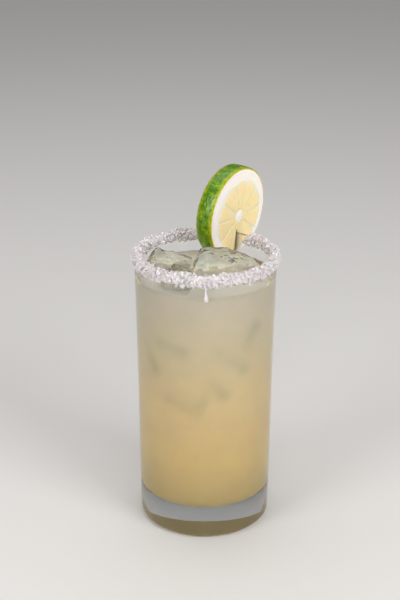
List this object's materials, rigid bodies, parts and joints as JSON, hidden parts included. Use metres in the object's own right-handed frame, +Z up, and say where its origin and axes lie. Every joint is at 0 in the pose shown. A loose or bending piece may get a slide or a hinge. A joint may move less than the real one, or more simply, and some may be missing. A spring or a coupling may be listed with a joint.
{
  "type": "margarita cocktail",
  "caption": "Cloudy pale lime cocktail with clear ice in a tall straight glass, its rim crusted with coarse salt and a slit lime wheel standing astride it.",
  "frame": {"origin": "centre of the glass's foot, on the surface it stands on", "axes": "+Z up along the glass's axis, -Y towards the viewer of the picture, +X to the viewer's right"},
  "size_m": [0.0774, 0.094, 0.1843],
  "materials": {
    "glass": "clear, polished",
    "drink": "cloudy liquid, glossy surface",
    "salt": "coarse damp crystals",
    "lime": "waxy peel round moist flesh",
    "ice": "clear, wet"
  },
  "bodies": {
    "root": {"glass": "glass", "drink": "drink", "salt_rim": "salt", "lime_wheel": "lime", "ice_left": "ice", "ice_right": "ice", "ice_front": "ice"}
  },
  "joints": []
}
